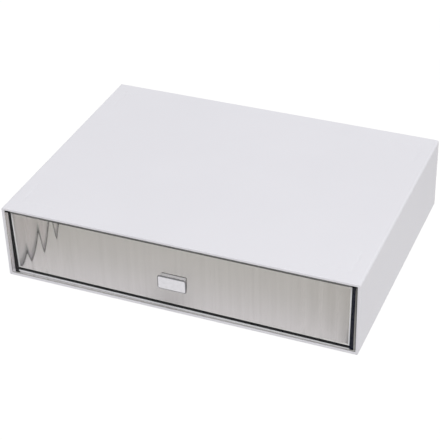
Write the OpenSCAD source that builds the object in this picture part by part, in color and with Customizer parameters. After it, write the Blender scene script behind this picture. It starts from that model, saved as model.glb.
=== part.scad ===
// Stackable drawer box: a white case of five panels, and a clear tray that slides out of its front.
// Millimetres. +Z is up and the open front faces -Y. The origin lies on the floor, at the middle
// of the footprint, which runs from the face of the pull to the back of the case.

/* [Case] */
// Width of the case
case_w = 320; // [280:1:380]
// Depth of the case
case_d = 235; // [200:1:300]
// Height of the case without its feet
case_h = 70; // [60:1:110]
// Thickness of every case panel
wall = 2.4; // [2.2:0.1:3]
// Radius of the four long outer edges
edge_r = 2.2; // [1:0.1:2.2]

/* [Panel joints] */
// Thickness of the tongues on the upright panels
tongue_t = 0.8; // [0.6:0.1:1]
// Height of the tongues
tongue_h = 1.1; // [0.8:0.1:1.2]
// Play of a tongue in its groove, on each side
tongue_play = 0.1; // [0.05:0.05:0.15]
// Distance from the end of a tongue to the end of its panel
tongue_end = 9; // [6:1:20]

/* [Stacking] */
// Height of the feet
foot_h = 1; // [0.8:0.1:1.2]
// Width of an arm of a foot
foot_w = 3; // [2.5:0.1:4]
// Length of an arm of a foot, along its middle line
foot_arm = 30; // [15:1:45]
// Middle line of a foot's arm to the side of the case
foot_from_side = 12.5; // [10:0.5:20]
// Middle line of a foot's arm to the front or the back of the case
foot_from_end = 15; // [10:0.5:20]
// Play of a foot in the socket of the case below, on each side
socket_play = 0.4; // [0.2:0.1:0.6]
// Depth of the sockets in the top
socket_depth = 0.4; // [0.3:0.1:1]

/* [Guide rails] */
// Gap between a rail on the case floor and the tray
rail_gap = 0.5; // [0.3:0.1:1]
// Height of the rails
rail_h = 2.5; // [1.5:0.5:4]
// Distance from the front of the case to the rails
rail_from_front = 14; // [10:1:40]

/* [Tray] */
// Thickness of the front sheet
front_t = 3; // [2:0.5:4]
// Thickness of the other sheets
sheet_t = 2.5; // [2:0.5:3]
// Gap between the front sheet and each side panel
front_side_gap = 0.4; // [0.3:0.1:1]
// Gap over the front sheet
front_top_gap = 1.4; // [0.8:0.1:2.5]
// Gap under the front sheet
front_bottom_gap = 0.5; // [0.3:0.1:2.5]
// How far the front sheet runs past each side sheet
front_margin = 2.4; // [1.5:0.1:5]
// Gap between the case floor and the lower edges of the side sheets
skid_gap = 0.2; // [0.1:0.1:0.5]
// Height of the tray floor's underside over the case floor
floor_lift = 3.1; // [2.8:0.1:8]
// Gap between the back of the tray and the back panel
rear_gap = 0.8; // [0.5:0.1:3]

/* [Pull] */
// Width of the pull's face
pull_w = 26; // [25:0.5:40]
// Height of the pull's face
pull_h = 13; // [12:0.5:20]
// Thickness of the pull's face plate
pull_face_t = 1.2; // [1:0.1:2.5]
// Corner radius of the face plate
pull_corner_r = 2; // [1:0.5:4]
// How far the pull stands out of the front sheet
pull_out = 6; // [5:0.5:12]
// Width of the neck behind the face plate
neck_w = 22.5; // [10:0.5:23]
// Height of the neck
neck_h = 12; // [6:0.1:12]
// Thickness of the bonding pad behind the neck
pad_t = 1; // [0.2:0.1:1.2]
// Distance of the pull's middle below the middle of the case
pull_drop = 1.4; // [-5:0.1:5]

/* [Hidden] */
$fn = 48;

// Colours
white_case = [0.94, 0.94, 0.96];
clear_sheet = [0.80, 0.84, 0.88, 0.45];
bright_metal = [0.80, 0.80, 0.82];
dark_pad = [0.15, 0.15, 0.17];

// A hair past a face, so that a cut goes right through it
past = 0.5;

// Case
front_y = -(case_d - pull_out) / 2;
back_y = front_y + case_d;
base_z = foot_h;
floor_z = base_z + wall;
roof_z = base_z + case_h - wall;
top_z = base_z + case_h;
panel_mid_x = case_w / 2 - wall / 2;
groove_t = tongue_t + 2 * tongue_play;
groove_h = tongue_h + tongue_play;

// Tray
front_half_w = case_w / 2 - wall - front_side_gap;
front_low_z = floor_z + front_bottom_gap;
front_high_z = roof_z - front_top_gap;
side_out_x = front_half_w - front_margin;
side_in_x = side_out_x - sheet_t;
side_low_z = floor_z + skid_gap;
rail_w = front_side_gap + front_margin - rail_gap;
sheets_y = front_y + front_t;
tray_end_y = back_y - wall - rear_gap;
tray_floor_z = floor_z + floor_lift;

// Pull
pull_z = base_z + case_h / 2 - pull_drop;
neck_len = pull_out - pull_face_t - pad_t;

// A block between two corners, each given as [x, y, z]
module block(low, high) {
    translate(low) cube(high - low);
}

// Cross-section of the top or base panel, flat side down, with its two outer edges rounded
module panel_profile() {
    intersection() {
        union() {
            translate([-case_w / 2, 0]) square([case_w, wall - edge_r]);
            translate([-case_w / 2 + edge_r, 0]) square([case_w - 2 * edge_r, wall]);
            for (side = [-1, 1])
                translate([side * (case_w / 2 - edge_r), wall - edge_r]) circle(r = edge_r);
        }
        translate([-case_w / 2, 0]) square([case_w, wall]);
    }
}

// The top or base panel as a slab on z = 0, rounded edges up
module slab() {
    translate([0, back_y, 0]) rotate([90, 0, 0]) linear_extrude(height = case_d) panel_profile();
}

// Grooves on the underside of a slab, for the tongues of the upright panels
module grooves() {
    for (side = [-1, 1])
        block([side * panel_mid_x - groove_t / 2, front_y + tongue_end - tongue_play, -past],
              [side * panel_mid_x + groove_t / 2, back_y - tongue_end + tongue_play, groove_h]);
    block([-case_w / 2 + wall + tongue_end - tongue_play, back_y - wall / 2 - groove_t / 2, -past],
          [case_w / 2 - wall - tongue_end + tongue_play, back_y - wall / 2 + groove_t / 2, groove_h]);
}

// One L-shaped corner piece in plan, with its outer corner towards -X and -Y
module corner_l(arm_w, arm_l, height) {
    block([-arm_w / 2, -arm_w / 2, 0], [arm_l, arm_w / 2, height]);
    block([-arm_w / 2, -arm_w / 2, 0], [arm_w / 2, arm_l, height]);
}

// The L-shaped pieces at the four corners of the case
module four_corners(arm_w, arm_l, height) {
    mid_y = (front_y + back_y) / 2;
    for (mx = [0, 1], my = [0, 1])
        translate([0, mid_y, 0]) mirror([mx, 0, 0]) mirror([0, my, 0])
            translate([-case_w / 2 + foot_from_side, -case_d / 2 + foot_from_end, 0])
                corner_l(arm_w, arm_l, height);
}

// Top panel, with sockets that take the feet of a case stacked on it
module case_top() {
    color(white_case)
        translate([0, 0, roof_z])
            difference() {
                slab();
                grooves();
                translate([0, 0, wall - socket_depth])
                    four_corners(foot_w + 2 * socket_play, foot_arm + socket_play, socket_depth + past);
            }
}

// Base panel, with L-shaped feet below it and two guide rails on it
module case_base() {
    color(white_case) {
        difference() {
            translate([0, 0, floor_z]) mirror([0, 0, 1]) slab();
            translate([0, 0, floor_z]) mirror([0, 0, 1]) grooves();
        }
        four_corners(foot_w, foot_arm, base_z);
        for (side = [0, 1])
            mirror([side, 0, 0])
                block([case_w / 2 - wall - rail_w, front_y + rail_from_front, floor_z],
                      [case_w / 2 - wall, back_y - wall, floor_z + rail_h]);
    }
}

// Upright side panel, with a tongue along its top and its bottom; side is -1 for left and 1 for right
module side_panel(side) {
    color(white_case) {
        block([side * panel_mid_x - wall / 2, front_y, floor_z],
              [side * panel_mid_x + wall / 2, back_y, roof_z]);
        block([side * panel_mid_x - tongue_t / 2, front_y + tongue_end, floor_z - tongue_h],
              [side * panel_mid_x + tongue_t / 2, back_y - tongue_end, roof_z + tongue_h]);
    }
}

module case_left() { side_panel(-1); }

module case_right() { side_panel(1); }

// Back panel between the side panels, with a tongue along its top and its bottom
module case_back() {
    half_w = case_w / 2 - wall;
    color(white_case) {
        block([-half_w, back_y - wall, floor_z], [half_w, back_y, roof_z]);
        block([-half_w + tongue_end, back_y - wall / 2 - tongue_t / 2, floor_z - tongue_h],
              [half_w - tongue_end, back_y - wall / 2 + tongue_t / 2, roof_z + tongue_h]);
    }
}

// Front sheet of the tray, which covers the mouth of the case and lies flush with it
module tray_front() {
    color(clear_sheet)
        block([-front_half_w, front_y, front_low_z], [front_half_w, sheets_y, front_high_z]);
}

// Side sheet of the tray, which slides on its lower edge; side is -1 for left and 1 for right
module side_sheet(side) {
    mid_x = (side_out_x + side_in_x) / 2;
    color(clear_sheet)
        block([side * mid_x - sheet_t / 2, sheets_y, side_low_z],
              [side * mid_x + sheet_t / 2, tray_end_y, front_high_z]);
}

module tray_left() { side_sheet(-1); }

module tray_right() { side_sheet(1); }

// Back sheet of the tray, between the side sheets
module tray_back() {
    color(clear_sheet)
        block([-side_in_x, tray_end_y - sheet_t, tray_floor_z], [side_in_x, tray_end_y, front_high_z]);
}

// Floor sheet of the tray, between the side sheets and in front of the back sheet
module tray_floor() {
    color(clear_sheet)
        block([-side_in_x, sheets_y, tray_floor_z],
              [side_in_x, tray_end_y - sheet_t, tray_floor_z + sheet_t]);
}

// Rectangle with round corners, centred
module rounded_rectangle(w, h, r) {
    square([w - 2 * r, h], center = true);
    square([w, h - 2 * r], center = true);
    for (sx = [-1, 1], sz = [-1, 1])
        translate([sx * (w / 2 - r), sz * (h / 2 - r)]) circle(r = r);
}

// Pull: a face plate on a narrower neck, so that a fingertip hooks behind its rim
module pull() {
    color(bright_metal)
        translate([0, front_y - pad_t, pull_z]) {
            block([-neck_w / 2, -neck_len, -neck_h / 2], [neck_w / 2, 0, neck_h / 2]);
            translate([0, -neck_len, 0]) rotate([90, 0, 0])
                linear_extrude(height = pull_face_t) rounded_rectangle(pull_w, pull_h, pull_corner_r);
        }
}

// Bonding pad that holds the pull on the front sheet
module pull_pad() {
    color(dark_pad)
        block([-neck_w / 2, front_y - pad_t, pull_z - neck_h / 2],
              [neck_w / 2, front_y, pull_z + neck_h / 2]);
}

case_top();
case_base();
case_left();
case_right();
case_back();
tray_front();
tray_left();
tray_right();
tray_back();
tray_floor();
pull();
pull_pad();
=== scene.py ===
"""Stackable drawer box, dressed around its packed model.

A white case of five panels stands on four low feet, and a clear tray fills its mouth and slides out on a
small bright pull. Every size is in metres, in the model's own frame: X to the right, Y to the back, Z up,
with the floor at z = 0. Each new piece stands exactly where its node is.
"""

from __future__ import annotations

import logging
import math
from dataclasses import dataclass, field
from enum import Enum
from typing import Any, Callable, Sequence

import bpy
import numpy as np
from mathutils import Matrix, Vector

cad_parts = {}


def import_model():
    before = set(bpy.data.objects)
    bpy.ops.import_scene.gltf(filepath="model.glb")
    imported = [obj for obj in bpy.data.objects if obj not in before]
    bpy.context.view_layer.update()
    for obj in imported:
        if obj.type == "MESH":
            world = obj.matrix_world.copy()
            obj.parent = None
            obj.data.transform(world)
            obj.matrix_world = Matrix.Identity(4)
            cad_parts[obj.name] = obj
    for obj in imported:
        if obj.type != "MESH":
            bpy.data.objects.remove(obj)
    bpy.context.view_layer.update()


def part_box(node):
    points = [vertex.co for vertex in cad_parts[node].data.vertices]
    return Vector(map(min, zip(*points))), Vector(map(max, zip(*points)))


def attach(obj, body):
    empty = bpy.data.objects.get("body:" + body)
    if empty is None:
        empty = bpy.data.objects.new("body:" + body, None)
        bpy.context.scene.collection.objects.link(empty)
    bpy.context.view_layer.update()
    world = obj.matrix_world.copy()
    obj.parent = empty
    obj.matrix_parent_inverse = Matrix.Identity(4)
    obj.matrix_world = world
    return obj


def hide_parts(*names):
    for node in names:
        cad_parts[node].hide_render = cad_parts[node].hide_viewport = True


LOG = logging.getLogger("drawer_box")
MM = 0.001
WHITE = (1.0, 1.0, 1.0, 1.0)
QUAD = (-1, -1), (1, -1), (1, 1), (-1, 1)

# The bonded seam between the tray's floor and a side sheet
SEAM_X, SEAM_Z = 152.3 * MM, 9.0 * MM
# Heights between which a finish passes from its foot tones to its usual ones; these grades are painted:
# shade that lightens towards the foot, and a cooler tint near the front sheet's foot
FOOT_Z, HEAD_Z = 5 * MM, 66 * MM
# How far a foot or rail runs into the panel that carries it
SUNK = 0.3 * MM
# Distance of the extra lines beside rounded edges that keep the faces' shading flat
HOLD = 0.3 * MM

Array = np.ndarray
Axes = tuple[int, int, int]
Triple = tuple[float, float, float]
Colour = Triple
Points = Sequence[tuple[float, float]]
Material = bpy.types.Material
Piece = bpy.types.Object


class Side(Enum):
    """The six sides of a plate, named by its two grid directions and its height."""

    LOW = "low"
    HIGH = "high"
    U_START = "u start"
    U_END = "u end"
    V_START = "v start"
    V_END = "v end"


class Body(Enum):
    """The two bodies that pieces ride on."""

    CASE = "case"
    TRAY = "tray"


# Shapes ------------------------------------------------------------


@dataclass
class Shell:
    """One closed surface.

    Args:
        points: Its points, one row each.
        faces: Its faces, as rows of point numbers that run anticlockwise seen from outside.
        coats: The number of the coat on each face.
    """

    points: Array
    faces: list[list[int]]
    coats: list[int]


@dataclass
class Loop:
    """A closed outline in a plane, with the direction in which each of its points moves outwards.

    Args:
        points: The outline's points, anticlockwise.
        mitres: For each point, its move when every side of the outline moves out by 1.
    """

    points: Array
    mitres: Array


def plate(axes: Axes, u: Array, v: Array, low: Array, high: Array,
          coats: dict[Side, int] | None = None) -> Shell:
    """Closed plate between two height fields on one grid.

    Point (i, j) of a sheet has u[i] along the first axis, v[j] along the second, and the sheet's own
    height along the third. Rims join the two sheets along the four borders of the grid.

    Args:
        axes: The world axes of u, v and the height, each 0, 1 or 2.
        u: Grid lines along the first axis, rising.
        v: Grid lines along the second axis, rising.
        low: Heights of the low sheet.
        high: Heights of the high sheet.
        coats: Coat numbers of sides, where they aren't 0.

    Returns:
        The closed shell.
    """
    grid_u, grid_v = np.meshgrid(u, v, indexing="ij")
    points = np.zeros((2, *grid_u.shape, 3))
    points[..., axes[0]] = grid_u
    points[..., axes[1]] = grid_v
    points[0, ..., axes[2]] = low
    points[1, ..., axes[2]] = high
    lo, hi = np.arange(points.size // 3).reshape(points.shape[:3])
    sides = {
        Side.HIGH: (hi[:-1, :-1], hi[1:, :-1], hi[1:, 1:], hi[:-1, 1:]),
        Side.LOW: (lo[:-1, :-1], lo[:-1, 1:], lo[1:, 1:], lo[1:, :-1]),
        Side.V_START: (lo[:-1, 0], lo[1:, 0], hi[1:, 0], hi[:-1, 0]),
        Side.V_END: (lo[1:, -1], lo[:-1, -1], hi[:-1, -1], hi[1:, -1]),
        Side.U_START: (lo[0, 1:], lo[0, :-1], hi[0, :-1], hi[0, 1:]),
        Side.U_END: (lo[-1, :-1], lo[-1, 1:], hi[-1, 1:], hi[-1, :-1]),
    }
    right_handed = np.linalg.det(np.eye(3)[list(axes)]) > 0
    faces: list[list[int]] = []
    marks: list[int] = []
    for side, corners in sides.items():
        quads = np.stack(corners, axis=-1).reshape(-1, 4)
        faces += (quads if right_handed else quads[:, ::-1]).tolist()
        marks += [(coats or {}).get(side, 0)] * len(quads)
    return Shell(points.reshape(-1, 3), faces, marks)


def outline(corners: Points, radius: float, steps: int = 6, hold: float = 0.0) -> Loop:
    """Closed outline of straight sides with round corners.

    With unit normals n1 and n2 of the sides that meet at a corner, the arc's centre lies the radius times
    (n1 + n2) / (1 + n1.n2) inside the corner, and its points lie the radius away along normals that turn
    evenly from n1 to n2. At an inward corner the centre lies outside and the arc bends the other way.

    Args:
        corners: The corners, anticlockwise.
        radius: Radius of every corner, or 0.
        steps: Straight steps in each arc.
        hold: Distance from an arc's ends to extra points that keep the sides' shading flat, or 0.

    Returns:
        The outline.
    """
    corner = np.array(corners, float)
    ahead = np.roll(corner, -1, 0) - corner
    ahead /= np.linalg.norm(ahead, axis=1)[:, None]
    behind = np.roll(ahead, 1, 0)
    normal_in = np.stack((behind[:, 1], -behind[:, 0]), 1)
    normal_out = np.stack((ahead[:, 1], -ahead[:, 0]), 1)
    mitre = (normal_in + normal_out) / (1 + np.sum(normal_in * normal_out, 1))[:, None]
    if not radius:
        return Loop(corner, mitre)
    bend = np.sign(behind[:, 0] * ahead[:, 1] - behind[:, 1] * ahead[:, 0])
    turn = np.arccos(np.clip(np.sum(normal_in * normal_out, 1), -1, 1)) * bend
    angle = np.arctan2(normal_in[:, 1], normal_in[:, 0])
    angle = angle[:, None] + turn[:, None] * np.linspace(0, 1, steps + 1)
    mitres = np.stack((np.cos(angle), np.sin(angle)), -1)
    centre = corner - radius * bend[:, None] * mitre
    points = centre[:, None] + radius * bend[:, None, None] * mitres
    if hold:
        first, last = points[:, :1] - hold * behind[:, None], points[:, -1:] + hold * ahead[:, None]
        points = np.concatenate((first, points, last), 1)
        mitres = np.concatenate((mitres[:, :1], mitres, mitres[:, -1:]), 1)
    return Loop(points.reshape(-1, 2), mitres.reshape(-1, 2))


def stations(start: float, stop: float, start_radius: float, stop_radius: float,
             steps: int, hold: float) -> Array:
    """Places along a bar and how far its outline is drawn in at each.

    Near an end of radius r the place is the end plus r (1 - cos t) and the inset is r (1 - sin t), while t
    goes from 0 to a right angle. Where r is 0 the end is square.

    Args:
        start: Place of the first end.
        stop: Place of the last end.
        start_radius: Radius of the first end's edge.
        stop_radius: The same of the last end.
        steps: Straight steps in each rounded edge.
        hold: Distance of the extra rings that keep flat faces flat.

    Returns:
        Rows of place and inset.
    """
    t = np.linspace(0, math.pi / 2, steps + 1)

    def end(place: float, radius: float, way: int) -> Array:
        """Rows from one end's face to its side.

        Args:
            place: Place of the end.
            radius: Radius of its edge, or 0.
            way: 1 for the first end, -1 for the last.

        Returns:
            Rows of place and inset.
        """
        if not radius:
            return np.array([[place, 0.0]])
        arc = np.stack((place + way * radius * (1 - np.cos(t)), radius * (1 - np.sin(t))), 1)
        return np.vstack(([place, radius + hold], arc, [place + way * (radius + hold), 0.0]))

    return np.vstack((end(start, start_radius, 1), end(stop, stop_radius, -1)[::-1]))


def carry(axes: Axes, loop: Loop, rows: Array, face_coat: int = 0,
          ring_coats: Sequence[int] | None = None) -> Shell:
    """Closed bar: an outline carried along an axis.

    Point (k, j) is the outline's point j less the inset of row k times the point's mitre, at the place of
    row k along the third axis. One face closes each end.

    Args:
        axes: The world axes of the outline's two coordinates and of the bar's length.
        loop: The outline.
        rows: Rows of place and inset, with rising places.
        face_coat: Coat number of the two end faces.
        ring_coats: Coat number of the faces between each row and the next, or None for 0.

    Returns:
        The closed shell.
    """
    count, around = len(rows), len(loop.points)
    points = np.zeros((count, around, 3))
    flat = loop.points[None] - rows[:, 1, None, None] * loop.mitres[None]
    points[..., axes[0]] = flat[..., 0]
    points[..., axes[1]] = flat[..., 1]
    points[..., axes[2]] = rows[:, 0, None]
    ring = np.arange(count * around).reshape(count, around)
    after = np.roll(ring, -1, 1)
    quads = np.stack((ring[:-1], after[:-1], after[1:], ring[1:]), -1).reshape(-1, 4)
    first, last = ring[0, ::-1], ring[-1]
    if np.linalg.det(np.eye(3)[list(axes)]) < 0:
        quads, first, last = quads[:, ::-1], first[::-1], last[::-1]
    marks = np.repeat(np.zeros(count - 1, int) if ring_coats is None else np.array(ring_coats), around)
    return Shell(points.reshape(-1, 3), quads.tolist() + [first.tolist(), last.tolist()],
                 marks.tolist() + [face_coat] * 2)


def grid_lines(*parts: Array | Sequence[float]) -> Array:
    """All the given grid lines in rising order, each once, to a thousandth of a millimetre."""
    return np.unique(np.round(np.concatenate([np.atleast_1d(p) for p in parts]), 6))


def edge_drop(distance: Array, radius: float) -> Array:
    """How far a rounded edge falls below its flat face: r - sqrt(r^2 - (r - d)^2), and 0 past r."""
    inward = np.clip(radius - distance, 0, radius)
    return radius - np.sqrt(np.maximum(radius**2 - inward**2, 0))


def edge_lines(start: float, stop: float, radius: float, steps: int) -> Array:
    """Grid lines for rounded edges at both ends of a side: r (1 - cos t) from each end, and one more."""
    near = np.append(radius * (1 - np.cos(np.linspace(0, math.pi / 2, steps + 1))), radius + HOLD)
    return np.concatenate((start + near, stop - near))


def to_edge(x: Array, y: Array, low: Sequence[float], high: Sequence[float]) -> Array:
    """Distance of points from the nearest side of the rectangle between two corners, positive inside it."""
    return np.minimum(np.minimum(x - low[0], high[0] - x), np.minimum(y - low[1], high[1] - y))


def smooth(value: Array) -> Array:
    """Smooth step: 3 t^2 - 2 t^3, with t held between 0 and 1."""
    t = np.clip(value, 0, 1)
    return t * t * (3 - 2 * t)


def span(node: str) -> tuple[Array, Array]:
    """Lowest and highest corner of a node, as arrays."""
    low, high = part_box(node)
    return np.array(low), np.array(high)


def make_piece(name: str, shells: Sequence[Shell], coats: Sequence[Material], body: Body,
               node: str, crease: float = 25.0) -> Piece:
    """Puts shells into one object, dresses it, and has it ride on its body in its node's stead.

    Args:
        name: Name of the piece.
        shells: Its closed surfaces.
        coats: Its materials, in the order of the coat numbers.
        body: The body that it rides on.
        node: The node that it stands for.
        crease: Angle in degrees past which an edge is shaded as sharp.

    Returns:
        The object.
    """
    starts = np.cumsum([0] + [len(s.points) for s in shells])
    faces = [[i + int(start) for i in face] for s, start in zip(shells, starts) for face in s.faces]
    mesh = bpy.data.meshes.new(name)
    mesh.from_pydata(np.vstack([s.points for s in shells]).tolist(), [], faces)
    mesh.polygons.foreach_set("material_index", [c for s in shells for c in s.coats])
    mesh.polygons.foreach_set("use_smooth", [True] * len(faces))
    mesh.update()
    mesh.set_sharp_from_angle(angle=math.radians(crease))
    for coat in coats:
        mesh.materials.append(coat)
    piece = bpy.data.objects.new(name, mesh)
    bpy.context.scene.collection.objects.link(piece)
    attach(piece, body.value)
    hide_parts(node)
    LOG.info("%s: %d faces on body %s, stands for %s", name, len(faces), body.value, node)
    return piece


@dataclass
class Part:
    """A sub-assembly.

    Args:
        finishes: The finishes by name.
    """

    finishes: dict[str, Material]

    def dressed(self, *names: str) -> list[Material]:
        """The named finishes, in the order of their coat numbers."""
        return [self.finishes[name] for name in names]


# Shaders ------------------------------------------------------------


def math_method(operation: str, flipped: bool = False) -> Callable[..., Wire]:
    """A method of a wire that adds a Math node.

    Args:
        operation: The node's operation.
        flipped: Whether the wire comes after the method's other value.

    Returns:
        The method.
    """
    def method(wire: Wire, *others: Any) -> Wire:
        """Adds the node on the wire and the other value, if there is one."""
        values = (*others, wire) if flipped else (wire, *others)
        return wire.shade.node("ShaderNodeMath", {"operation": operation}, dict(enumerate(values)))

    return method


class Wire:
    """One output of a shader tree, on which Python's arithmetic adds Math nodes."""

    __add__ = __radd__ = math_method("ADD")
    __sub__, __rsub__ = math_method("SUBTRACT"), math_method("SUBTRACT", flipped=True)
    __mul__ = __rmul__ = math_method("MULTIPLY")
    __pow__, __abs__ = math_method("POWER"), math_method("ABSOLUTE")
    most = math_method("MAXIMUM")

    def __init__(self, shade: Shade, socket: bpy.types.NodeSocket) -> None:
        """Keeps the tree that it belongs to and the socket itself."""
        self.shade, self.socket = shade, socket

    def step(self, low: float, high: float) -> Wire:
        """Smooth step from 0 where this is low to 1 where it is high."""
        return self.shade.node("ShaderNodeMapRange", {"interpolation_type": "SMOOTHSTEP"},
                               {"Value": self, "From Min": low, "From Max": high})


class Shade:
    """A material or world being put together."""

    def __init__(self, block: Material | bpy.types.World) -> None:
        """Empties the block's tree and keeps it.

        Args:
            block: The material or world.
        """
        block.use_nodes = True
        self.block = block
        self.tree = block.node_tree
        self.tree.nodes.clear()

    def node(self, kind: str, settings: dict[str, Any] | None = None,
             sockets: dict[str | int, Any] | None = None, output: str | int = 0) -> Wire:
        """Adds any node.

        Args:
            kind: The node's type.
            settings: Its properties, set before its sockets.
            sockets: Values or wires for its inputs, by name or number.
            output: Name or number of the output that is returned.

        Returns:
            The output as a wire, which holds nothing where the node has none.
        """
        made = self.tree.nodes.new(kind)
        for name, value in (settings or {}).items():
            setattr(made, name, value)
        for name, value in (sockets or {}).items():
            if isinstance(value, Wire):
                self.tree.links.new(value.socket, made.inputs[name])
            else:
                made.inputs[name].default_value = value
        return Wire(self, made.outputs[output] if made.outputs else None)

    def place(self) -> Wire:
        """Object coordinates, which are the model's own frame."""
        return self.node("ShaderNodeTexCoord", output="Object")

    def parts(self, vector: Wire) -> tuple[Wire, Wire, Wire]:
        """The three parts of a vector."""
        split = self.node("ShaderNodeSeparateXYZ", sockets={"Vector": vector}).socket.node
        return tuple(Wire(self, part) for part in split.outputs)

    def stretched(self, scale: Triple) -> Wire:
        """Object coordinates, scaled on each axis."""
        return self.node("ShaderNodeMapping", sockets={"Vector": self.place(), "Scale": scale})

    def noise(self, vector: Wire, scale: float, detail: float = 2.0, roughness: float = 0.5) -> Wire:
        """Smooth noise between 0 and 1."""
        return self.node("ShaderNodeTexNoise", {"noise_dimensions": "3D"},
                         {"Vector": vector, "Scale": scale, "Detail": detail, "Roughness": roughness})

    def blend(self, share: Any, first: Colour | Wire, second: Colour | Wire) -> Wire:
        """Colour between two, by share."""
        a, b = (colour if isinstance(colour, Wire) else (*colour, 1.0) for colour in (first, second))
        return self.node("ShaderNodeMix", {"data_type": "RGBA"}, {0: share, 6: a, 7: b}, output=2)

    def rising(self, spots: Wire, tones: tuple[Colour, Colour], feet: tuple[Colour, Colour]) -> Wire:
        """Two tones mixed by spots, which pass into two others towards the foot of the box, for painted
        shade and tints that change with height.
        """
        share = self.parts(self.place())[2].step(FOOT_Z, HEAD_Z)
        return self.blend(share, self.blend(spots, *feet), self.blend(spots, *tones))

    def bump(self, height: Wire, distance: float, strength: float) -> Wire:
        """A normal bent by a height."""
        sockets = {"Height": height, "Distance": distance, "Strength": strength}
        return self.node("ShaderNodeBump", sockets=sockets)

    def principled(self, sockets: dict[str | int, Any]) -> Wire:
        """A Principled shader."""
        return self.node("ShaderNodeBsdfPrincipled", sockets=sockets)

    def mixed(self, share: Any, first: Wire, second: Wire) -> Wire:
        """Two shaders mixed by share."""
        return self.node("ShaderNodeMixShader", sockets={0: share, 1: first, 2: second})

    def path(self, ray: str) -> Wire:
        """1 on one kind of ray."""
        return self.node("ShaderNodeLightPath", output=ray)

    def backdrop(self) -> Wire:
        """1 on the rays that show what stands behind the object: seen, mirrored or through clear sheets."""
        mirrored_or_through = self.path("Is Glossy Ray").most(self.path("Is Transmission Ray"))
        return self.path("Is Camera Ray").most(mirrored_or_through)

    def done(self, surface: Wire) -> Any:
        """Ends the tree in this surface and gives the material or world back."""
        self.node(f"ShaderNodeOutput{type(self.block).__name__}", sockets={"Surface": surface})
        return self.block


def scaled(colour: Colour, share: float) -> Colour:
    """A colour times a number."""
    return colour[0] * share, colour[1] * share, colour[2] * share


def new_shade(name: str) -> Shade:
    """A new, empty material."""
    return Shade(bpy.data.materials.new(name))


# Finishes ------------------------------------------------------------


@dataclass(frozen=True)
class SatinPlastic:
    """Moulded plastic with a satin grain, a faint drift of tone, and walls that let some light through.

    Args:
        name: Name of the material.
        tone: Its usual colour.
        drift: The colour that it drifts towards.
        roughness: Its usual roughness.
        clouds: Patches of drift per metre.
        grain: Grains per metre.
        passes: Share of a lamp's light that passes each face of a wall.
    """

    name: str
    tone: Colour = (0.870, 0.863, 0.912)
    drift: Colour = (0.882, 0.875, 0.924)
    roughness: float = 0.42
    clouds: float = 9.0
    grain: float = 2600.0
    passes: Colour = (0.67, 0.705, 0.66)

    def build(self) -> Material:
        """Makes the material.

        Returns:
            The material.
        """
        shade = new_shade(self.name)
        place = shade.place()
        cloud = shade.noise(place, self.clouds, detail=3.0)
        grain = shade.noise(place, self.grain)
        wall = shade.principled({
            "Base Color": shade.blend(cloud.step(0.35, 0.65), self.tone, self.drift),
            "Roughness": grain * 0.10 + (self.roughness - 0.05),
            "Normal": shade.bump(grain, distance=0.02 * MM, strength=0.25),
            "IOR": 1.5,
        })
        lit_through = shade.node("ShaderNodeBsdfTransparent", sockets={"Color": (*self.passes, 1.0)})
        return shade.done(shade.mixed(shade.path("Is Shadow Ray"), wall, lit_through))


@dataclass(frozen=True)
class ClearSheet:
    """Polished clear sheet that lets lamps through, with faint upright flow lines and painted seam shade.

    Args:
        name: Name of the material.
        tint: Colour of what is seen through it near its top; on the front sheet it is warmer, a painted
            cast of the warmer light deeper in the case.
        foot_tint: The same near its foot.
        lamp_tint: Share of light that reaches what is behind it.
        index: Refractive index.
        streaks: Flow lines per metre.
        upright: How many times as fast they change upwards as across.
        deepest: Brightness of the dimmest flow line.
        gloss: Share of its reflection that shows.
        shadow: Brightness of the shade painted near a bonded floor seam, for the dark corner seen through
            it, or 1 for none.
        along_floor: How far that painted shade reaches over the floor.
        up_side: How far it reaches up the side sheet.
    """

    name: str
    tint: Colour = (0.985, 0.975, 0.96)
    foot_tint: Colour = (0.985, 0.975, 0.96)
    lamp_tint: Colour = (0.98, 0.97, 0.96)
    index: float = 1.59
    streaks: float = 400.0
    upright: float = 0.02
    deepest: float = 0.965
    gloss: Colour = (0.1, 0.1, 0.1)
    shadow: float = 1.0
    along_floor: float = 6 * MM
    up_side: float = 10 * MM

    def build(self) -> Material:
        """Makes the material.

        Returns:
            The material.
        """
        shade = new_shade(self.name)
        stretch = self.streaks, self.streaks, self.streaks * self.upright
        lines = shade.noise(shade.stretched(stretch), scale=1.0)
        colour = shade.rising(lines.step(0.36, 0.64), (scaled(self.tint, self.deepest), self.tint),
                              (scaled(self.foot_tint, self.deepest), self.foot_tint))
        # Painted shade: darker towards the bonded floor seam, for the dark corner of the case seen through
        # it
        if self.shadow < 1:
            x, _, z = shade.parts(shade.place())
            beside = abs(x).step(SEAM_X - self.along_floor, SEAM_X)
            above = 1 - z.step(SEAM_Z, SEAM_Z + self.up_side)
            colour = shade.blend((beside * above) ** 1.5, colour, scaled(self.tint, self.shadow))
        clear = shade.principled({
            "Base Color": colour,
            "Roughness": 0.0,
            "Transmission Weight": 1.0,
            "IOR": self.index,
            "Specular Tint": (*self.gloss, 1.0),
        })
        open_air = shade.node("ShaderNodeBsdfTransparent", sockets={"Color": (*self.lamp_tint, 1.0)})
        bounced = shade.mixed(shade.path("Is Diffuse Ray"), clear, open_air)
        return shade.done(shade.mixed(shade.path("Is Shadow Ray"), bounced, open_air))


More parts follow.
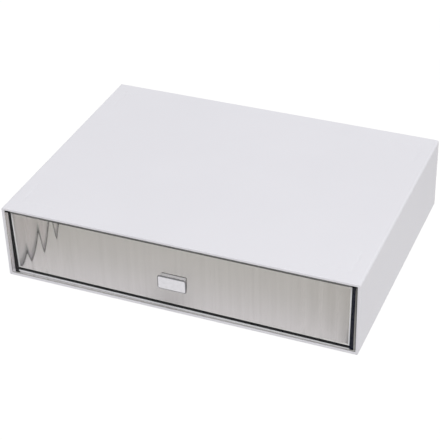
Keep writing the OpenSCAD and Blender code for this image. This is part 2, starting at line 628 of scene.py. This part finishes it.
@dataclass(frozen=True)
class Seam:
    """Flat colour on a band or rim of the clear tray that paints the dark lines of shade and the pale
    highlights that its seams and rims show.

    Args:
        name: Name of the material.
        tone: Its colour.
        pale: Colour of its small paler spots.
        roughness: Its roughness.
        gloss: Its specular level.
        foot: How many times as bright it is at the foot of the box as at its top, for painted shade that
            lightens towards the foot.
        spots: Spots per metre.
    """

    name: str
    tone: Colour
    pale: Colour
    roughness: float = 0.25
    gloss: float = 0.05
    foot: float = 1.0
    spots: float = 420.0

    def build(self) -> Material:
        """Makes the material.

        Returns:
            The material.
        """
        shade = new_shade(self.name)
        spots = shade.noise(shade.place(), self.spots, detail=3.0)
        tones = self.tone, self.pale
        feet = scaled(self.tone, self.foot), scaled(self.pale, self.foot)
        return shade.done(shade.principled({
            "Base Color": shade.rising(spots.step(0.45, 0.8), tones, feet),
            "Roughness": spots * 0.2 + self.roughness,
            "Specular IOR Level": self.gloss,
        }))


@dataclass(frozen=True)
class Plated:
    """Bright plating with a fine haze and very faint wipe marks.

    Args:
        name: Name of the material.
        tone: Colour of the metal.
        roughness: Its usual roughness.
        haze: Patches of haze per metre.
        wipes: Wipe marks per metre, across and upwards.
        worn: Brightness of the hazy places.
    """

    name: str
    tone: Colour
    roughness: float = 0.1
    haze: float = 300.0
    wipes: tuple[float, float] = (1500.0, 60.0)
    worn: float = 0.93

    def build(self) -> Material:
        """Makes the material.

        Returns:
            The material.
        """
        shade = new_shade(self.name)
        haze = shade.noise(shade.place(), self.haze, detail=3.0)
        wipes = shade.noise(shade.stretched((self.wipes[0], *self.wipes)), scale=1.0)
        return shade.done(shade.principled({
            "Base Color": shade.blend(haze.step(0.3, 0.75), self.tone, scaled(self.tone, self.worn)),
            "Metallic": 1.0,
            "Roughness": haze * 0.08 + self.roughness,
            "Normal": shade.bump(wipes, distance=0.01 * MM, strength=0.15),
        }))


@dataclass(frozen=True)
class FoamTape:
    """Dark closed-cell foam tape.

    Args:
        name: Name of the material.
        tone: Its colour.
        cell: Colour of its cells.
        cells: Cells per metre.
    """

    name: str
    tone: Colour = (0.012, 0.012, 0.014)
    cell: Colour = (0.04, 0.04, 0.045)
    cells: float = 5200.0

    def build(self) -> Material:
        """Makes the material.

        Returns:
            The material.
        """
        shade = new_shade(self.name)
        cells = shade.noise(shade.place(), self.cells, detail=1.0)
        return shade.done(shade.principled({
            "Base Color": shade.blend(cells.step(0.4, 0.7), self.tone, self.cell),
            "Roughness": 0.85,
            "Normal": shade.bump(cells, distance=0.15 * MM, strength=0.6),
        }))


@dataclass(frozen=True)
class Finishes:
    """Every finish of the box.

    Clear is the front sheet's and bonded the other sheets'. All the others but the last four are painted
    finishes
    on the tray: the black and navy lines paint the shade at its seams, the grey edge paints shade on the
    rims of the floor and back sheets, the graded one paints shade on the right margin and the front sheet's
    lower rim, the two pale ones paint highlights over the floor's film and beside the upright films, and
    the top rim paints the shade on the front sheet's upper rim under the roof. The last four belong to the
    pull: its rim is painted dark for shade and reflection, and its neck is painted brighter for its lit
    top.
    """

    white: SatinPlastic = SatinPlastic("case_white")
    # Painted light: the front sheet's tint is warmer near its top, for the warmer light deeper in the case
    clear: ClearSheet = ClearSheet("tray_front_clear", (0.985, 0.978, 0.945), (0.945, 0.965, 0.965))
    # Painted shade near the seam of the floor and side sheets
    bonded: ClearSheet = ClearSheet("tray_clear", deepest=0.99, shadow=0.55)
    # Painted shade: black and navy films for the dark lines at the tray's seams
    seam_black: Seam = Seam("seam_black", (0.0016, 0.0020, 0.0035), (0.004, 0.005, 0.009))
    seam_navy: Seam = Seam("seam_navy", (0.004, 0.0055, 0.016), (0.010, 0.013, 0.034))
    # Painted shade: grey on the rims of the floor and back sheets
    seam_grey: Seam = Seam("seam_grey", (0.20, 0.20, 0.21), (0.26, 0.26, 0.27))
    # Painted shade, lighter towards the foot: the right margin and the front sheet's lower rim
    smoke: Seam = Seam("painted_shade_graded", (0.25, 0.245, 0.24), (0.28, 0.275, 0.27), foot=1.75)
    # Painted highlight: pale band over the floor's black film
    frost: Seam = Seam("painted_highlight_over_film", (0.86, 0.85, 0.85), (0.92, 0.91, 0.91), 0.4)
    # Painted highlight: pale borders beside the dark films
    bead: Seam = Seam("painted_highlight_band", (0.88, 0.89, 0.93), (0.93, 0.94, 0.97), 0.15)
    # Painted shade: the front sheet's upper rim under the roof
    sawn: Seam = Seam("painted_shade_top_rim", (0.20, 0.20, 0.20), (0.26, 0.26, 0.26), 0.4)
    bright: Plated = Plated("pull_bright", (0.70, 0.69, 0.72))
    # Painted shade and reflection: dark copy of the plating for the pull's chamfer and sides
    rim: Plated = Plated("pull_painted_dark_rim", (0.22, 0.22, 0.23), 0.3)
    # Painted highlight: brighter copy of the plating for the neck's lit top
    neck: Plated = Plated("pull_neck_painted_highlight", (0.97, 0.97, 0.99), 0.45)
    tape: FoamTape = FoamTape("pad_dark")


# Case ------------------------------------------------------------


@dataclass
class CornerL:
    """The L-shaped feet and sockets at the corners of the case.

    Args:
        from_side: Middle line of an arm to the side of the case.
        from_end: Middle line of an arm to its front or back.
        arm: Length of a foot's arm along its middle line.
        foot_half: Half the width of a foot's arm.
        foot_h: Height of a foot.
        foot_corner: Radius of a foot's corners.
        foot_edge: Radius of its lower edge.
        socket_arm: Length of a socket's arm along its middle line.
        socket_half: Half the width of a socket's arm.
        socket_depth: Depth of a socket at its middle.
        slope: Width of a socket's sloping wall.
    """

    from_side: float = 12.5 * MM
    from_end: float = 15 * MM
    arm: float = 30 * MM
    foot_half: float = 1.5 * MM
    foot_h: float = 1.0 * MM
    foot_corner: float = 0.5 * MM
    foot_edge: float = 0.25 * MM
    socket_arm: float = 30.4 * MM
    socket_half: float = 1.9 * MM
    socket_depth: float = 0.12 * MM
    slope: float = 1.6 * MM

    def depth(self, from_side: Array, from_end: Array) -> Array:
        """Depth of the sockets: the full depth times a smooth step over the slope.

        The distance from a socket's edge is the greater of its distances from the edges of the two arms.

        Args:
            from_side: Distances of the points from the nearest side of the case.
            from_end: Their distances from its nearest end.

        Returns:
            The depth at each point.
        """
        x, y = from_side - self.from_side, from_end - self.from_end
        low, high = (-self.socket_half, -self.socket_half), (self.socket_arm, self.socket_half)
        edge = np.maximum(to_edge(x, y, low, high), to_edge(y, x, low, high))
        return self.socket_depth * smooth(edge / self.slope)

    def cuts(self, reach: float) -> Array:
        """Grid lines that follow the walls of the sockets on both sides of a middle line.

        Args:
            reach: Distance from the middle line to the middle lines of the arms along it.

        Returns:
            The lines, as places from the middle line.
        """
        walls = np.append(np.linspace(0, self.slope, 6), [-HOLD, self.socket_half])
        half, tip = self.socket_half, self.socket_arm
        lines = reach - np.concatenate((walls - half, half - walls, tip - walls))
        return np.concatenate((lines, -lines))

    def foot(self, corner: tuple[float, float], floor: float) -> Shell:
        """One foot, which runs into the base.

        Args:
            corner: The crossing of its arms' middle lines, whose signs say which corner of the case it is.
            floor: Height of its lower face.

        Returns:
            The foot's shell.
        """
        half, tip = self.foot_half, self.arm
        arms = [(-half, -half), (tip, -half), (tip, half), (half, half), (half, tip), (-half, tip)]
        way_x, way_y = -math.copysign(1, corner[0]), -math.copysign(1, corner[1])
        placed = [(corner[0] + way_x * x, corner[1] + way_y * y) for x, y in arms]
        if way_x * way_y < 0:
            placed.reverse()
        loop = outline(placed, self.foot_corner, steps=3, hold=0.2 * MM)
        rows = stations(floor, floor + self.foot_h + SUNK, self.foot_edge, 0.0, steps=3, hold=0.1 * MM)
        return carry((0, 1, 2), loop, rows)


@dataclass
class Case(Part):
    """White case: a top, a base, two sides and a back, with an open front.

    Args:
        wall: Thickness of the panels.
        long_radius: Radius of the four long outer edges.
        mouth_radius: Radius of the panels' outer edges at the front and the back.
        lip_radius: Radius of their inner edges at the mouth.
        joint_radius: Radius of the back panel's own outer edges, which show as a fine joint.
        tongue: Height of the tongues that the upright panels' nodes end in.
        rail_w: Width of the guide rails.
        rail_ends: Distances of their ends from the front and the back of the case.
        rail_corner: Radius of their long edges.
        rail_edge: Radius of their front edges.
        corners: The feet and sockets.
    """

    wall: float = 2.4 * MM
    long_radius: float = 2.2 * MM
    mouth_radius: float = 0.5 * MM
    lip_radius: float = 0.3 * MM
    joint_radius: float = 0.2 * MM
    tongue: float = 1.1 * MM
    rail_w: float = 2.3 * MM
    rail_ends: tuple[float, float] = (14 * MM, 2.1 * MM)
    rail_corner: float = 0.45 * MM
    rail_edge: float = 0.25 * MM
    corners: CornerL = field(default_factory=CornerL)

    def _piece(self, name: str, shells: Sequence[Shell]) -> Piece:
        """A white piece on the case, named after its node."""
        return make_piece(f"{name}_panel", shells, self.dressed("white"), Body.CASE, name)

    def _upright(self) -> tuple[float, float]:
        """Heights of the case's floor and roof, between which the upright panels show."""
        low, high = span("case_left")
        return low[2] + self.tongue, high[2] - self.tongue

    def _depth_lines(self, low: Array, high: Array) -> Array:
        """Grid lines from front to back of a panel, for its outer edges and for its lip."""
        outer = edge_lines(low[1], high[1], self.mouth_radius, steps=4)
        return grid_lines(outer, edge_lines(low[1], high[1], self.lip_radius, steps=3))

    def _slab(self, low: Array, high: Array, way: int, cut_x: Sequence[float] = (),
              cut_y: Sequence[float] = ()) -> tuple[Array, Array, Array, Array]:
        """Grid and heights of the top or base.

        The outer face falls by the rounding of its nearest edges, and the inner one rises at the mouth's
        lip between the side panels.

        Args:
            low: Lowest corner of the panel.
            high: Highest corner of the panel.
            way: 1 where the outer face looks up, -1 where it looks down.
            cut_x: Further grid lines along X.
            cut_y: Further grid lines along Y.

        Returns:
            The grid lines along X and along Y, the outer heights and the inner heights.
        """
        mouth, step = high[0] - self.wall, 0.02 * MM
        x = grid_lines(edge_lines(low[0], high[0], self.long_radius, steps=9),
                       [-mouth, mouth, step - mouth, mouth - step], cut_x)
        y = grid_lines(self._depth_lines(low, high), cut_y)
        gx, gy = np.meshgrid(x, y, indexing="ij")
        to_side = np.minimum(gx - low[0], high[0] - gx)
        to_end = np.minimum(gy - low[1], high[1] - gy)
        drop = np.maximum(edge_drop(to_side, self.long_radius), edge_drop(to_end, self.mouth_radius))
        lip = edge_drop(gy - low[1], self.lip_radius) * (to_side > self.wall + step / 2)
        inner, outer = (low[2], high[2]) if way > 0 else (high[2], low[2])
        return x, y, outer - way * drop, inner + way * lip

    def top(self) -> Piece:
        """Top panel with its four sockets.

        Returns:
            The panel.
        """
        low, high = span("case_top")
        half, mid_y = (high - low) / 2, (high[1] + low[1]) / 2
        cut_x = self.corners.cuts(half[0] - self.corners.from_side)
        cut_y = self.corners.cuts(half[1] - self.corners.from_end)
        x, y, outer, inner = self._slab(low, high, 1, cut_x, mid_y + cut_y)
        gx, gy = np.meshgrid(x, y, indexing="ij")
        outer -= self.corners.depth(half[0] - np.abs(gx), half[1] - np.abs(gy - mid_y))
        return self._piece("case_top", [plate((0, 1, 2), x, y, inner, outer)])

    def base(self) -> Piece:
        """Base panel with its feet and guide rails.

        Returns:
            The panel.
        """
        low, high = span("case_base")
        under, inner = low + (0, 0, self.corners.foot_h), high.copy()
        inner[2] = self._upright()[0]
        x, y, outer_z, inner_z = self._slab(under, inner, -1)
        mid_y = (low[1] + high[1]) / 2
        reach_x = high[0] - self.corners.from_side
        reach_y = (high[1] - low[1]) / 2 - self.corners.from_end
        feet = [self.corners.foot((sx * reach_x, mid_y + sy * reach_y), low[2])
                for sx in (-1, 1) for sy in (-1, 1)]
        rails = [self._rail(side, low, high, inner[2]) for side in (-1, 1)]
        return self._piece("case_base", [plate((0, 1, 2), x, y, outer_z, inner_z), *feet, *rails])

    def _rail(self, side: int, low: Array, high: Array, floor: float) -> Shell:
        """Guide rail in the corner of floor and side, with a rounded inner edge and lead-in.

        Args:
            side: -1 for left, 1 for right.
            low: Lowest corner of the base.
            high: Highest corner of the base, at the rail's top.
            floor: Height of the case's floor.

        Returns:
            The rail's shell.
        """
        wall_x = span("case_back")[1][0]
        inner_x, foot = wall_x - self.rail_w, floor - SUNK
        corners = [(inner_x, foot), (wall_x + SUNK, foot), (wall_x + SUNK, high[2]), (inner_x, high[2])]
        if side < 0:
            corners = [(-x, z) for x, z in reversed(corners)]
        ends = low[1] + self.rail_ends[0], high[1] - self.rail_ends[1]
        return carry((0, 2, 1), outline(corners, self.rail_corner, steps=3, hold=0.1 * MM),
                     stations(*ends, self.rail_edge, 0.0, steps=3, hold=0.1 * MM))

    def side(self, side: int) -> Piece:
        """Side panel between base and top.

        Args:
            side: -1 for left, 1 for right.

        Returns:
            The panel.
        """
        name = "case_left" if side < 0 else "case_right"
        low, high = span(name)
        z = np.array(self._upright())
        y = self._depth_lines(low, high)
        outside, inside = (low[0], high[0]) if side < 0 else (high[0], low[0])
        ends = np.minimum(y - low[1], high[1] - y)
        outer = outside - side * edge_drop(ends, self.mouth_radius)[:, None] * np.ones(2)
        inner = inside + side * edge_drop(y - low[1], self.lip_radius)[:, None] * np.ones(2)
        sheets = (outer, inner) if side < 0 else (inner, outer)
        return self._piece(name, [plate((1, 2, 0), y, z, *sheets)])

    def back(self) -> Piece:
        """Back panel between the sides, with a fine joint round it.

        Returns:
            The panel.
        """
        low, high = span("case_back")
        z_low, z_high = self._upright()
        x = grid_lines(edge_lines(low[0], high[0], self.joint_radius, steps=3))
        z = grid_lines(edge_lines(z_low, z_high, self.joint_radius, steps=3))
        near = to_edge(*np.meshgrid(x, z, indexing="ij"), (low[0], z_low), (high[0], z_high))
        outer = high[1] - edge_drop(near, self.joint_radius)
        return self._piece("case_back", [plate((0, 2, 1), x, z, low[1], outer)])

    def build(self) -> list[Piece]:
        """All five panels."""
        return [self.top(), self.base(), self.side(-1), self.side(1), self.back()]


# Tray ------------------------------------------------------------


@dataclass
class Ripples:
    """Upright waves on the inner face of the front sheet, deepest beside the side sheets.

    With e the distance from the side sheet, p the pitch and q = 2 pi e / p, the slope across the sheet is a
    softened sawtooth of height a: depth = a p / pi^2 times the sum of s (1 - cos(k q)) / k^2 over k from 1
    to 3, where s = sin(pi k / 4) / (pi k / 4) rounds the ridges. The height a falls in a smooth step while
    e goes from near to far.

    Args:
        pitch: Distance between ridges, the first of which is at the side sheet.
        slope: Height of the sawtooth beside the side sheets.
        rest: Its height in the middle.
        near: Distance from the side sheet at which it begins to fall.
        far: Distance at which it has fallen.
    """

    pitch: float = 13.75 * MM
    slope: float = 0.32
    rest: float = 0.02
    near: float = 33 * MM
    far: float = 62 * MM

    def depth(self, x: Array, half: float) -> Array:
        """Depth of the hollows by the formula above.

        Args:
            x: Places across the sheet.
            half: Distance of the side sheets from the middle.

        Returns:
            The depth at each place.
        """
        from_side = np.maximum(half - np.abs(x), 0)
        calm = smooth((from_side - self.near) / (self.far - self.near))
        steep = self.slope + (self.rest - self.slope) * calm
        k = np.arange(1, 4)
        phase = 2 * math.pi * from_side[..., None] / self.pitch
        waves = np.sum(np.sinc(k / 4) * (1 - np.cos(k * phase)) / k**2, -1)
        return steep * self.pitch / math.pi**2 * waves * smooth(from_side / MM)


@dataclass
class Tray(Part):
    """Clear tray bonded from five sheets, with black films along its seams that paint their shade,
    and pale borders beside them that paint highlights.

    Args:
        polish: Width of the polished chamfer on every sheet's edges.
        gap: Clearance of a sheet from the sheet that it is bonded to.
        tuck: How far a film reaches past the front sheet's inner face.
        bite: How deep the films on the side sheets' edges reach into the front sheet.
        bead: Width of the painted highlights beside those films.
        film_left: Distances of the left film from the middle, outside and inside, each at head and foot.
        film_right: The same of the right film.
        film_ends: Distances of those films from the front sheet's foot and the side sheet's head.
        film_slant: How much lower the floor's film is at its right end.
        film_raise: How much higher than the floor the film is at its left end.
        film_over: How much higher the film is than the floor is thick.
        film_past: How far the floor's film runs past the floor on both sides.
        borders: Widths of its lower and upper painted highlights.
        sight: Fall of a line of sight in the front sheet, along which the floor's film is cut.
        ripples: The waves on the front sheet.
    """

    polish: float = 0.2 * MM
    gap: float = 0.03 * MM
    tuck: float = 0.021 * MM
    bite: float = 0.2 * MM
    bead: float = 1.05 * MM
    film_left: tuple[float, ...] = (154.5 * MM, 154.5 * MM, 151.9 * MM, 150.4 * MM)
    film_right: tuple[float, ...] = (155.7 * MM, 155.4 * MM, 152.8 * MM, 151.9 * MM)
    film_ends: tuple[float, float] = (0.3 * MM, 0.2 * MM)
    film_slant: float = 2.4 * MM
    film_raise: float = 0.85 * MM
    film_over: float = 0.35 * MM
    film_past: float = 0.4 * MM
    borders: tuple[float, float] = (1.575 * MM, 0.525 * MM)
    sight: float = 0.38
    ripples: Ripples = field(default_factory=Ripples)

    def _piece(self, name: str, shells: Sequence[Shell], *coats: str) -> Piece:
        """A piece on the tray, named after its node, in the named finishes."""
        return make_piece(f"{name}_sheet", shells, self.dressed(*coats), Body.TRAY, name,
                          crease=20.0)

    def _wave_lines(self) -> Array:
        """Grid lines across the ripples, 24 to a pitch."""
        half = span("tray_floor")[1][0]
        return np.linspace(-half, half, 24 * round(2 * half / self.ripples.pitch) + 1)

    def _sheet(self, axes: Axes, low: Array, high: Array, coats: dict[Side, int],
               waves: bool = False) -> Shell:
        """A sheet with chamfered edges: a face falls by the chamfer's width less the distance to the rim.

        Args:
            axes: The world axes of its two long directions and of its thickness.
            low: Its lowest corner.
            high: Its highest corner.
            coats: Coat numbers of its rims, where they aren't 0.
            waves: Whether its high face has the ripples.

        Returns:
            The sheet's shell.
        """
        flat, thick = list(axes[:2]), axes[2]
        u, v = (grid_lines([low[k], low[k] + self.polish, high[k] - self.polish, high[k]]) for k in flat)
        hollow = 0.0
        if waves:
            u = grid_lines(u, self._wave_lines())
            hollow = self.ripples.depth(u, span("tray_floor")[1][0])[:, None]
        rim = to_edge(*np.meshgrid(u, v, indexing="ij"), low[flat], high[flat])
        drop = np.maximum(self.polish - rim, 0)
        return plate(axes, u, v, low[thick] + drop, high[thick] - drop - hollow, coats)

    def front(self) -> Piece:
        """Front sheet, rippled inside, with its upper rim painted grey for the shade under the roof and
        black past the floor's ends, and its lower rim painted grey for shade.

        Returns:
            The sheet.
        """
        sheet = self._sheet((0, 2, 1), *span("tray_front"), {Side.V_END: 1, Side.V_START: 3}, waves=True)
        u = np.unique(sheet.points[:, 0])
        marks = np.array(sheet.coats)
        marks[marks == 1] = np.where(np.abs(u[1:] + u[:-1]) > 2 * span("tray_floor")[1][0], 2, 1)
        sheet.coats = marks.tolist()
        return self._piece("tray_front", [sheet], "clear", "sawn", "seam_black", "smoke")

    def side(self, side: int) -> Piece:
        """Side sheet with a black film on its front edge that paints the seam's shade, a pale border beside
        it that paints a highlight, and on the right a margin painted grey for shade that lightens towards
        the foot.

        Each of these bands runs down between two slanting lines, given by their distances from the middle
        at head and foot, and reaches a little into the front sheet.

        Args:
            side: -1 for left, 1 for right.

        Returns:
            The sheet.
        """
        name = "tray_left" if side < 0 else "tray_right"
        low, high = span(name)
        front_low, front_high = span("tray_front")
        foot, head = front_low[2] + self.film_ends[0], high[2] - self.film_ends[1]
        film = np.array(self.film_left if side < 0 else self.film_right).reshape(2, 2)
        rim = np.full(2, front_high[0] - self.polish)
        seat = span("tray_floor")[1][2] + self.film_raise + self.film_over
        if side > 0:
            seat -= self.film_slant
        pale = film[1] - self.bead
        bands = [(1, film[0], film[1], foot), (2, film[1], pale, seat), (3, rim, film[0], foot)]
        layers = np.array([[front_high[1] - self.bite, 0.0], [front_high[1] + self.tuck, 0.0]])
        shells = []
        for coat, outer, inner, end in bands if side > 0 else bands[:2]:
            share = (end - foot) / (head - foot)
            (x1, x2), (x4, x3) = ((side * line[0], side * (line[1] + (line[0] - line[1]) * share))
                                  for line in (outer, inner))
            corners = [(x1, head), (x2, end), (x3, end), (x4, head)]
            shells.append(carry((0, 2, 1), outline(corners[::-side], radius=0.0), layers, coat, [coat]))
        low[1] += self.gap
        sheet = self._sheet((1, 2, 0), low, high, {})
        seam = "seam_black" if side < 0 else "seam_navy"
        return self._piece(name, [sheet, *shells], "bonded", seam, "bead", "smoke")

    def floor(self) -> Piece:
        """Floor sheet between the side sheets, with a black film on its front edge that paints the seam's
        shade, pale borders above and below it that paint highlights, and side and back rims painted grey
        for shade.

        Each band of the film is a plate on the lines of the ripples. Its front layer lies just before the
        rippled face, and is higher by the fall of a line of sight between the layers.

        Returns:
            The sheet.
        """
        low, high = span("tray_floor")
        behind = span("tray_front")[1][1]
        u = grid_lines([low[0] - self.film_past, high[0] + self.film_past], self._wave_lines())
        hollow = self.ripples.depth(u, high[0])
        slant = self.film_raise - self.film_slant * (u - low[0]) / (high[0] - low[0])
        under, over = low[2] + slant, high[2] + self.film_over + slant
        foot, head = span("tray_front")[0][2] + self.polish, high[2] + self.polish
        first, last = np.maximum(under - self.borders[0], foot), np.maximum(over + self.borders[1], head)
        lines = [first, under, over, last]
        face, lift = behind - hollow[:, None] - self.gap, self.sight * hollow
        bands = []
        for coat, lower, upper in zip((3, 1, 4), lines, lines[1:]):
            band = plate((0, 2, 1), u, np.arange(2.0), face, behind + self.tuck, dict.fromkeys(Side, coat))
            heights = np.stack((lower + lift, upper + lift, lower, upper)).reshape(2, 2, -1)
            band.points[:, 2] = heights.swapaxes(1, 2).ravel()
            bands.append(band)
        low[:2] += self.gap
        high[:2] -= self.gap
        sheet = self._sheet((0, 1, 2), low, high, {Side.V_END: 2, Side.U_START: 2, Side.U_END: 2})
        return self._piece("tray_floor", [sheet, *bands],
                           "bonded", "seam_black", "seam_grey", "bead", "frost")

    def back(self) -> Piece:
        """Back sheet between the side sheets, with its side rims painted grey for shade.

        Returns:
            The sheet.
        """
        low, high = span("tray_back")
        low[:2] += self.gap
        high[0] -= self.gap
        sheet = self._sheet((0, 2, 1), low, high, {Side.U_START: 1, Side.U_END: 1})
        return self._piece("tray_back", [sheet], "bonded", "seam_grey")

    def build(self) -> list[Piece]:
        """All five sheets."""
        return [self.front(), self.side(-1), self.side(1), self.back(), self.floor()]


@dataclass
class Pull(Part):
    """Bright pull: a thin face plate with a rim painted dark for shade and reflection, on a narrower neck
    painted brighter for its lit top, and the tape behind it.

    Args:
        plate_t: Thickness of the face plate.
        corner: Corner radius of the face plate.
        face_edge: Width of the chamfer round the face, which is painted dark for shade and reflection.
        chamfer_t: Its depth, past which the edge rounds into the plate's side.
        ease: Length of that rounding, and distance of the line that keeps the face flat.
        shoulder: How far the outline is still drawn in where the rounding begins.
        back_edge: Width of the chamfer at the plate's back.
        neck_half: Half the width and half the height of the neck.
        neck_corner: Corner radius of the neck.
        root: How far the neck runs into the plate.
        tape_edge: Radius of the tape's edges.
        tape_gap: Clearance of the tape from the front sheet.
    """

    plate_t: float = 1.2 * MM
    corner: float = 2.0 * MM
    face_edge: float = 0.9 * MM
    chamfer_t: float = 0.3 * MM
    ease: float = 0.1 * MM
    shoulder: float = 0.06 * MM
    back_edge: float = 0.2 * MM
    neck_half: tuple[float, float] = (11.25 * MM, 6 * MM)
    neck_corner: float = 0.6 * MM
    root: float = 0.3 * MM
    tape_edge: float = 0.15 * MM
    tape_gap: float = 0.01 * MM

    @staticmethod
    def _box(mid: Array, half_w: float, half_h: float) -> Points:
        """Corners of an upright rectangle about a middle, in X and Z."""
        return [(mid[0] + x * half_w, mid[2] + z * half_h) for x, z in QUAD]

    def handle(self) -> Piece:
        """Face plate and neck: the plate's outline draws in over the chamfer, and a little at the back.

        Returns:
            The plate and neck in one piece.
        """
        low, high = span("pull")
        mid, half = (low + high) / 2, (high - low) / 2
        face = outline(self._box(mid, half[0], half[2]), self.corner, steps=8, hold=0.2 * MM)
        front, back = low[1], low[1] + self.plate_t
        rows = np.array([
            [front, self.face_edge + self.ease],
            [front, self.face_edge],
            [front + self.chamfer_t, self.shoulder],
            [front + self.chamfer_t + self.ease, 0.0],
            [back - self.back_edge, 0.0],
            [back, self.back_edge],
        ])
        # Coat 1 paints the chamfer and sides dark for shade and reflection, and coat 2 paints the neck
        # bright for its lit top
        plate_shell = carry((0, 2, 1), face, rows, 0, [0] + [1] * (len(rows) - 2))
        neck = outline(self._box(mid, *self.neck_half), self.neck_corner, steps=4, hold=0.15 * MM)
        neck_shell = carry((0, 2, 1), neck, np.array([[back - self.root, 0.0], [high[1], 0.0]]), 2, [2])
        return make_piece("pull_handle", [plate_shell, neck_shell], self.dressed("bright", "rim", "neck"),
                          Body.TRAY, "pull", crease=35.0)

    def pad(self) -> Piece:
        """Foam tape between the neck and the front sheet.

        Returns:
            The tape.
        """
        low, high = span("pull_pad")
        mid, half = (low + high) / 2, (high - low) / 2
        loop = outline(self._box(mid, half[0], half[2]), self.neck_corner, steps=3, hold=0.15 * MM)
        rows = stations(low[1], high[1] - self.tape_gap, self.tape_edge, self.tape_edge,
                        steps=2, hold=0.05 * MM)
        tape = carry((0, 2, 1), loop, rows)
        return make_piece("pull_tape", [tape], self.dressed("tape"), Body.TRAY, "pull_pad")

    def build(self) -> list[Piece]:
        """The handle and its pad."""
        return [self.handle(), self.pad()]


# Studio ------------------------------------------------------------


@dataclass
class Studio:
    """Plain white studio: floor, world, one wide soft lamp and the camera.

    Args:
        sky: Strength of the world's light.
        lamp_at: Place of the lamp, which looks at the origin.
        lamp_size: Width of the lamp.
        lamp_power: Power of the lamp in watts.
        floor_tone: Colour of the floor under light.
        floor_glow: Strength of its own light towards the camera.
        floor_share: Share of the floor's look that keeps shadows.
        floor_half: Half the width of the floor.
        eye: Place of the camera.
        right: The camera's right.
        up: The camera's up.
        lens: Focal length in millimetres on a sensor 36 mm wide.
    """

    sky: float = 0.42
    lamp_at: Triple = (1.40, -1.80, 3.74)
    lamp_size: float = 4.0
    lamp_power: float = 116.5
    floor_tone: Colour = (0.64, 0.63, 0.62)
    floor_glow: float = 1.08
    floor_share: float = 0.09
    floor_half: float = 6.0
    eye: Triple = (0.40091, -0.94669, 0.71387)
    right: Triple = (0.924799, 0.379627, -0.025113)
    up: Triple = (-0.192557, 0.523967, 0.829687)
    lens: float = 113.02

    def world(self) -> None:
        """White world: plain light for the object, and plain white for what is seen or mirrored."""
        shade = Shade(bpy.data.worlds.new("studio"))
        light, seen = (shade.node("ShaderNodeBackground", sockets={"Color": WHITE, "Strength": strength})
                       for strength in (self.sky, 1.0))
        bpy.context.scene.world = shade.done(shade.mixed(shade.backdrop(), light, seen))

    def floor(self) -> Piece:
        """Wide floor that is white to the camera and in mirrors, and keeps a faint shadow.

        Returns:
            The floor.
        """
        shade = new_shade("studio_floor")
        clouds = shade.noise(shade.place(), scale=3.0)
        tone = shade.blend(clouds, self.floor_tone, scaled(self.floor_tone, 1.01))
        lit = shade.node("ShaderNodeBsdfDiffuse", sockets={"Color": tone})
        white = shade.node("ShaderNodeEmission", sockets={"Color": WHITE, "Strength": self.floor_glow})
        seen = shade.mixed(1.0 - self.floor_share, lit, white)
        material = shade.done(shade.mixed(shade.backdrop(), lit, seen))
        corners = [(x * self.floor_half, y * self.floor_half, 0) for x, y in QUAD]
        mesh = bpy.data.meshes.new("floor")
        mesh.from_pydata(corners, [], [(0, 1, 2, 3)])
        mesh.materials.append(material)
        plane = bpy.data.objects.new("floor", mesh)
        bpy.context.scene.collection.objects.link(plane)
        return plane

    def lamp(self) -> None:
        """One wide soft lamp above the front right."""
        data = bpy.data.lights.new("soft_lamp", "AREA")
        data.shape, data.size, data.energy = "DISK", self.lamp_size, self.lamp_power
        lamp = bpy.data.objects.new("soft_lamp", data)
        lamp.location = self.lamp_at
        lamp.rotation_euler = (-lamp.location).to_track_quat("-Z", "Y").to_euler()
        lamp.visible_camera = lamp.visible_glossy = False
        bpy.context.scene.collection.objects.link(lamp)

    def camera(self) -> None:
        """The camera, turned by its own right and up."""
        data = bpy.data.cameras.new("camera")
        data.lens, data.sensor_width, data.clip_start = self.lens, 36.0, 0.01
        right, up = Vector(self.right).normalized(), Vector(self.up).normalized()
        turned = Matrix((right, up, right.cross(up))).transposed().to_4x4()
        camera = bpy.data.objects.new("camera", data)
        camera.matrix_world = Matrix.Translation(self.eye) @ turned
        bpy.context.scene.collection.objects.link(camera)
        bpy.context.scene.camera = camera

    def settings(self) -> None:
        """Plain view settings, enough bounces for clear sheets, and denoising."""
        scene = bpy.context.scene
        scene.view_settings.view_transform = "Standard"
        cycles = scene.cycles
        cycles.max_bounces, cycles.diffuse_bounces, cycles.glossy_bounces = 20, 10, 8
        cycles.transmission_bounces, cycles.transparent_max_bounces = 18, 24
        cycles.caustics_reflective = False
        cycles.use_denoising = True

    def build(self) -> None:
        """Everything round the object."""
        self.world()
        self.floor()
        self.lamp()
        self.camera()
        self.settings()


def main() -> None:
    """Loads the frame, builds each sub-assembly in order, and sets up the studio."""
    logging.basicConfig(level=logging.INFO, format="%(name)s %(message)s")
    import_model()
    Studio().build()
    finishes = {name: finish.build() for name, finish in vars(Finishes()).items()}
    for part in (Case(finishes), Tray(finishes), Pull(finishes)):
        pieces = part.build()
        LOG.info("%s: %d pieces", type(part).__name__, len(pieces))


if __name__ == "__main__":
    main()
